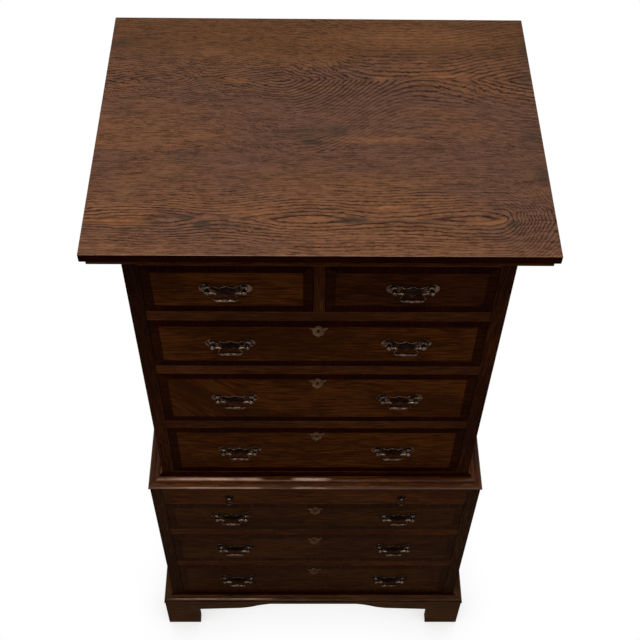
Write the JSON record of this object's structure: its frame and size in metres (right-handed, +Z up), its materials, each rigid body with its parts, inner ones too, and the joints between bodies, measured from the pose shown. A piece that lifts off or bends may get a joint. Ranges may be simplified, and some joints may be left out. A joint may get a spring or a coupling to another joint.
{
  "type": "chest on chest",
  "caption": "Oak chest on chest: two stacked cases of dovetailed, crossbanded drawers with bail handles, a brushing slide, moulded waist and top, and bracket feet.",
  "frame": {"origin": "on the floor, under the middle of the top board", "axes": "+X to the right seen from the front, -Y the way the drawers open, +Z up"},
  "size_m": [0.762, 0.584, 1.489],
  "materials": {
    "top_oak": "dark stained oak, waxed, open grain",
    "case_oak": "dark stained oak, polished",
    "drawer_front_oak": "dark stained oak with darker crossbanding, polished",
    "secondary_oak": "unpolished oak, slightly grey with age",
    "aged_brass": "dull aged brass with rubbed highlights"
  },
  "bodies": {
    "case": {"top_board": "top_oak", "cornice_moulding": "case_oak", "upper_left_side": "case_oak", "upper_right_side": "case_oak", "upper_front_frame": "case_oak", "upper_bottom_board": "secondary_oak", "upper_back_boards": "secondary_oak", "upper_runners": "secondary_oak", "waist_moulding": "case_oak", "lower_left_side": "case_oak", "lower_right_side": "case_oak", "lower_front_frame": "case_oak", "lower_top_board": "secondary_oak", "lower_bottom_board": "secondary_oak", "lower_back_boards": "secondary_oak", "lower_runners": "secondary_oak", "base_moulding": "case_oak", "bracket_feet": "case_oak"},
    "upper_bottom_drawer": {"upper_bottom_drawer_front": "drawer_front_oak", "upper_bottom_drawer_box": "secondary_oak", "upper_bottom_drawer_fittings": "aged_brass"},
    "upper_bottom_drawer_bail_left": {"upper_bottom_drawer_bail_left": "aged_brass"},
    "upper_bottom_drawer_bail_right": {"upper_bottom_drawer_bail_right": "aged_brass"},
    "upper_third_drawer": {"upper_third_drawer_front": "drawer_front_oak", "upper_third_drawer_box": "secondary_oak", "upper_third_drawer_fittings": "aged_brass"},
    "upper_third_drawer_bail_left": {"upper_third_drawer_bail_left": "aged_brass"},
    "upper_third_drawer_bail_right": {"upper_third_drawer_bail_right": "aged_brass"},
    "upper_second_drawer": {"upper_second_drawer_front": "drawer_front_oak", "upper_second_drawer_box": "secondary_oak", "upper_second_drawer_fittings": "aged_brass"},
    "upper_second_drawer_bail_left": {"upper_second_drawer_bail_left": "aged_brass"},
    "upper_second_drawer_bail_right": {"upper_second_drawer_bail_right": "aged_brass"},
    "top_left_drawer": {"top_left_drawer_front": "drawer_front_oak", "top_left_drawer_box": "secondary_oak", "top_left_drawer_fittings": "aged_brass"},
    "top_left_drawer_bail": {"top_left_drawer_bail": "aged_brass"},
    "top_right_drawer": {"top_right_drawer_front": "drawer_front_oak", "top_right_drawer_box": "secondary_oak", "top_right_drawer_fittings": "aged_brass"},
    "top_right_drawer_bail": {"top_right_drawer_bail": "aged_brass"},
    "lower_bottom_drawer": {"lower_bottom_drawer_front": "drawer_front_oak", "lower_bottom_drawer_box": "secondary_oak", "lower_bottom_drawer_fittings": "aged_brass"},
    "lower_bottom_drawer_bail_left": {"lower_bottom_drawer_bail_left": "aged_brass"},
    "lower_bottom_drawer_bail_right": {"lower_bottom_drawer_bail_right": "aged_brass"},
    "lower_middle_drawer": {"lower_middle_drawer_front": "drawer_front_oak", "lower_middle_drawer_box": "secondary_oak", "lower_middle_drawer_fittings": "aged_brass"},
    "lower_middle_drawer_bail_left": {"lower_middle_drawer_bail_left": "aged_brass"},
    "lower_middle_drawer_bail_right": {"lower_middle_drawer_bail_right": "aged_brass"},
    "lower_top_drawer": {"lower_top_drawer_front": "drawer_front_oak", "lower_top_drawer_box": "secondary_oak", "lower_top_drawer_fittings": "aged_brass"},
    "lower_top_drawer_bail_left": {"lower_top_drawer_bail_left": "aged_brass"},
    "lower_top_drawer_bail_right": {"lower_top_drawer_bail_right": "aged_brass"},
    "brushing_slide": {"brushing_slide": "case_oak", "slide_pull_mounts": "aged_brass"},
    "slide_drop_left": {"slide_drop_left": "aged_brass"},
    "slide_drop_right": {"slide_drop_right": "aged_brass"}
  },
  "joints": [
    {"name": "upper_bottom_drawer_slide", "type": "slide", "parent": "case", "child": "upper_bottom_drawer", "axis": [0, -1, 0], "range_m": [0, 0.42]},
    {"name": "upper_bottom_drawer_bail_left_swing", "type": "hinge", "parent": "upper_bottom_drawer", "child": "upper_bottom_drawer_bail_left", "pos_m": [-0.159, -0.251, 0.809], "axis": [-1, 0, 0], "range_deg": [-18, 150]},
    {"name": "upper_bottom_drawer_bail_right_swing", "type": "hinge", "parent": "upper_bottom_drawer", "child": "upper_bottom_drawer_bail_right", "pos_m": [0.159, -0.251, 0.809], "axis": [-1, 0, 0], "range_deg": [-18, 150]},
    {"name": "upper_third_drawer_slide", "type": "slide", "parent": "case", "child": "upper_third_drawer", "axis": [0, -1, 0], "range_m": [0, 0.42]},
    {"name": "upper_third_drawer_bail_left_swing", "type": "hinge", "parent": "upper_third_drawer", "child": "upper_third_drawer_bail_left", "pos_m": [-0.159, -0.251, 1.0065], "axis": [-1, 0, 0], "range_deg": [-18, 150]},
    {"name": "upper_third_drawer_bail_right_swing", "type": "hinge", "parent": "upper_third_drawer", "child": "upper_third_drawer_bail_right", "pos_m": [0.159, -0.251, 1.0065], "axis": [-1, 0, 0], "range_deg": [-18, 150]},
    {"name": "upper_second_drawer_slide", "type": "slide", "parent": "case", "child": "upper_second_drawer", "axis": [0, -1, 0], "range_m": [0, 0.42]},
    {"name": "upper_second_drawer_bail_left_swing", "type": "hinge", "parent": "upper_second_drawer", "child": "upper_second_drawer_bail_left", "pos_m": [-0.159, -0.251, 1.186], "axis": [-1, 0, 0], "range_deg": [-18, 150]},
    {"name": "upper_second_drawer_bail_right_swing", "type": "hinge", "parent": "upper_second_drawer", "child": "upper_second_drawer_bail_right", "pos_m": [0.159, -0.251, 1.186], "axis": [-1, 0, 0], "range_deg": [-18, 150]},
    {"name": "top_left_drawer_slide", "type": "slide", "parent": "case", "child": "top_left_drawer", "axis": [0, -1, 0], "range_m": [0, 0.42]},
    {"name": "top_left_drawer_bail_swing", "type": "hinge", "parent": "top_left_drawer", "child": "top_left_drawer_bail", "pos_m": [-0.159, -0.251, 1.344], "axis": [-1, 0, 0], "range_deg": [-18, 150]},
    {"name": "top_right_drawer_slide", "type": "slide", "parent": "case", "child": "top_right_drawer", "axis": [0, -1, 0], "range_m": [0, 0.42]},
    {"name": "top_right_drawer_bail_swing", "type": "hinge", "parent": "top_right_drawer", "child": "top_right_drawer_bail", "pos_m": [0.159, -0.251, 1.344], "axis": [-1, 0, 0], "range_deg": [-18, 150]},
    {"name": "lower_bottom_drawer_slide", "type": "slide", "parent": "case", "child": "lower_bottom_drawer", "axis": [0, -1, 0], "range_m": [0, 0.44]},
    {"name": "lower_bottom_drawer_bail_left_swing", "type": "hinge", "parent": "lower_bottom_drawer", "child": "lower_bottom_drawer_bail_left", "pos_m": [-0.186, -0.278, 0.235], "axis": [-1, 0, 0], "range_deg": [-18, 150]},
    {"name": "lower_bottom_drawer_bail_right_swing", "type": "hinge", "parent": "lower_bottom_drawer", "child": "lower_bottom_drawer_bail_right", "pos_m": [0.186, -0.278, 0.235], "axis": [-1, 0, 0], "range_deg": [-18, 150]},
    {"name": "lower_middle_drawer_slide", "type": "slide", "parent": "case", "child": "lower_middle_drawer", "axis": [0, -1, 0], "range_m": [0, 0.44]},
    {"name": "lower_middle_drawer_bail_left_swing", "type": "hinge", "parent": "lower_middle_drawer", "child": "lower_middle_drawer_bail_left", "pos_m": [-0.186, -0.278, 0.4085], "axis": [-1, 0, 0], "range_deg": [-18, 150]},
    {"name": "lower_middle_drawer_bail_right_swing", "type": "hinge", "parent": "lower_middle_drawer", "child": "lower_middle_drawer_bail_right", "pos_m": [0.186, -0.278, 0.4085], "axis": [-1, 0, 0], "range_deg": [-18, 150]},
    {"name": "lower_top_drawer_slide", "type": "slide", "parent": "case", "child": "lower_top_drawer", "axis": [0, -1, 0], "range_m": [0, 0.44]},
    {"name": "lower_top_drawer_bail_left_swing", "type": "hinge", "parent": "lower_top_drawer", "child": "lower_top_drawer_bail_left", "pos_m": [-0.186, -0.278, 0.566], "axis": [-1, 0, 0], "range_deg": [-18, 150]},
    {"name": "lower_top_drawer_bail_right_swing", "type": "hinge", "parent": "lower_top_drawer", "child": "lower_top_drawer_bail_right", "pos_m": [0.186, -0.278, 0.566], "axis": [-1, 0, 0], "range_deg": [-18, 150]},
    {"name": "brushing_slide_slide", "type": "slide", "parent": "case", "child": "brushing_slide", "axis": [0, -1, 0], "range_m": [0, 0.33]},
    {"name": "slide_drop_left_swing", "type": "hinge", "parent": "brushing_slide", "child": "slide_drop_left", "pos_m": [-0.187, -0.2715, 0.6505], "axis": [-1, 0, 0], "range_deg": [0, 95]},
    {"name": "slide_drop_right_swing", "type": "hinge", "parent": "brushing_slide", "child": "slide_drop_right", "pos_m": [0.187, -0.2715, 0.6505], "axis": [-1, 0, 0], "range_deg": [0, 95]}
  ]
}
